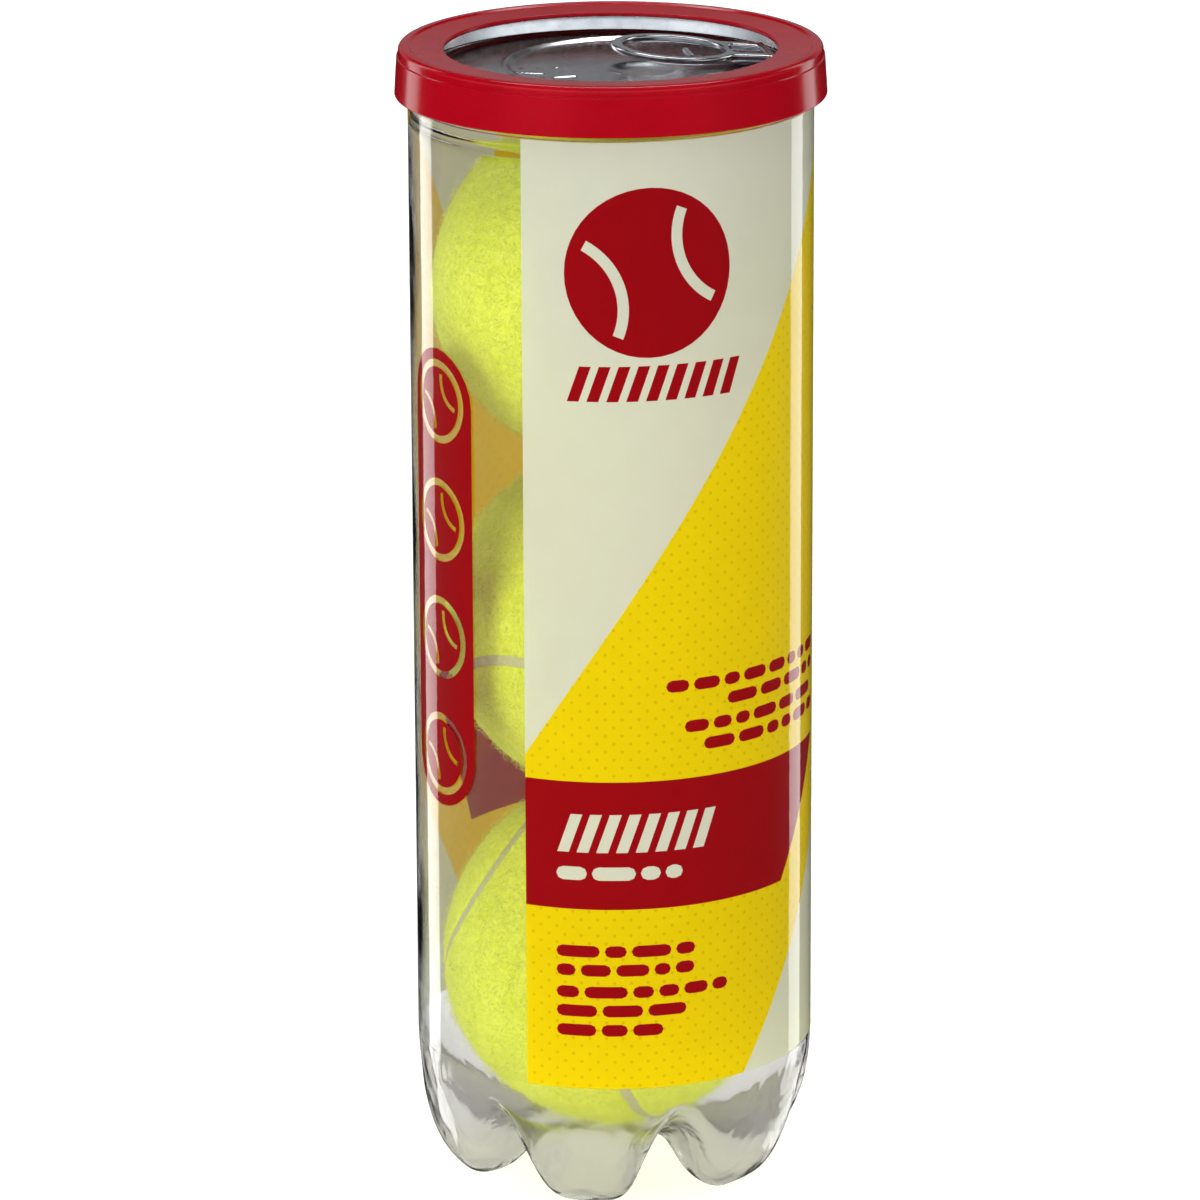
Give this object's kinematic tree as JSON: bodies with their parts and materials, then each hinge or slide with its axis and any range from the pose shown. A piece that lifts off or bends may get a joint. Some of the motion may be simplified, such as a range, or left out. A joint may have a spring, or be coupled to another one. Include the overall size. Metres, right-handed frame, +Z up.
{
  "type": "tennis ball can",
  "caption": "Clear plastic ball can with feet, wrap label, ring-pull metal end and open clip-on rim cap, holding felt balls.",
  "frame": {"origin": "centre of the plane that the feet stand on, on the can's axis", "axes": "+Z up along the can; -Y faces the front of the label; the pull tab points towards +X"},
  "size_m": [0.08, 0.08, 0.217],
  "materials": {
    "clear_plastic": "clear, glossy, blow moulded",
    "label_film": "printed film, satin gloss",
    "sealing_rubber": "matt",
    "aluminium": "rolled, bright satin",
    "cap_plastic": "glossy moulded red",
    "felt": "napped felt",
    "ball_seam": "matt vulcanised cement",
    "ball_core": "matt moulded rubber",
    "core_cement": "matt cement"
  },
  "bodies": {
    "can": {"can_body": "clear_plastic", "label": "label_film", "sealing_compound": "sealing_rubber", "end_ring": "aluminium"},
    "ball_lower": {"ball_lower_felt_a": "felt", "ball_lower_felt_b": "felt", "ball_lower_seam": "ball_seam", "ball_lower_core_a": "ball_core", "ball_lower_core_b": "ball_core", "ball_lower_core_cement": "core_cement"},
    "ball_middle": {"ball_middle_felt_a": "felt", "ball_middle_felt_b": "felt", "ball_middle_seam": "ball_seam", "ball_middle_core_a": "ball_core", "ball_middle_core_b": "ball_core", "ball_middle_core_cement": "core_cement"},
    "ball_upper": {"ball_upper_felt_a": "felt", "ball_upper_felt_b": "felt", "ball_upper_seam": "ball_seam", "ball_upper_core_a": "ball_core", "ball_upper_core_b": "ball_core", "ball_upper_core_cement": "core_cement"},
    "tear_panel": {"tear_panel": "aluminium", "tab_tongue": "aluminium"},
    "pull_ring": {"pull_ring": "aluminium"},
    "overcap": {"overcap": "cap_plastic"}
  },
  "joints": [
    {"name": "ball_lower_slide", "type": "slide", "parent": "can", "child": "ball_lower", "axis": [0, 0, 1], "range_m": [0, 0.215]},
    {"name": "ball_middle_slide", "type": "slide", "parent": "ball_lower", "child": "ball_middle", "axis": [0, 0, 1], "range_m": [0, 0.15]},
    {"name": "ball_upper_slide", "type": "slide", "parent": "ball_middle", "child": "ball_upper", "axis": [0, 0, 1], "range_m": [0, 0.085]},
    {"name": "tear_panel_lift", "type": "slide", "parent": "ball_upper", "child": "tear_panel", "axis": [0, 0, 1], "range_m": [0, 0.025]},
    {"name": "pull_ring_hinge", "type": "hinge", "parent": "tear_panel", "child": "pull_ring", "pos_m": [0.02895, 0.00511, 0.214], "axis": [-0.1736, 0.9848, 0], "range_deg": [0, 75]},
    {"name": "overcap_lift", "type": "slide", "parent": "tear_panel", "child": "overcap", "axis": [0, 0, 1], "range_m": [0, 0.03]}
  ]
}
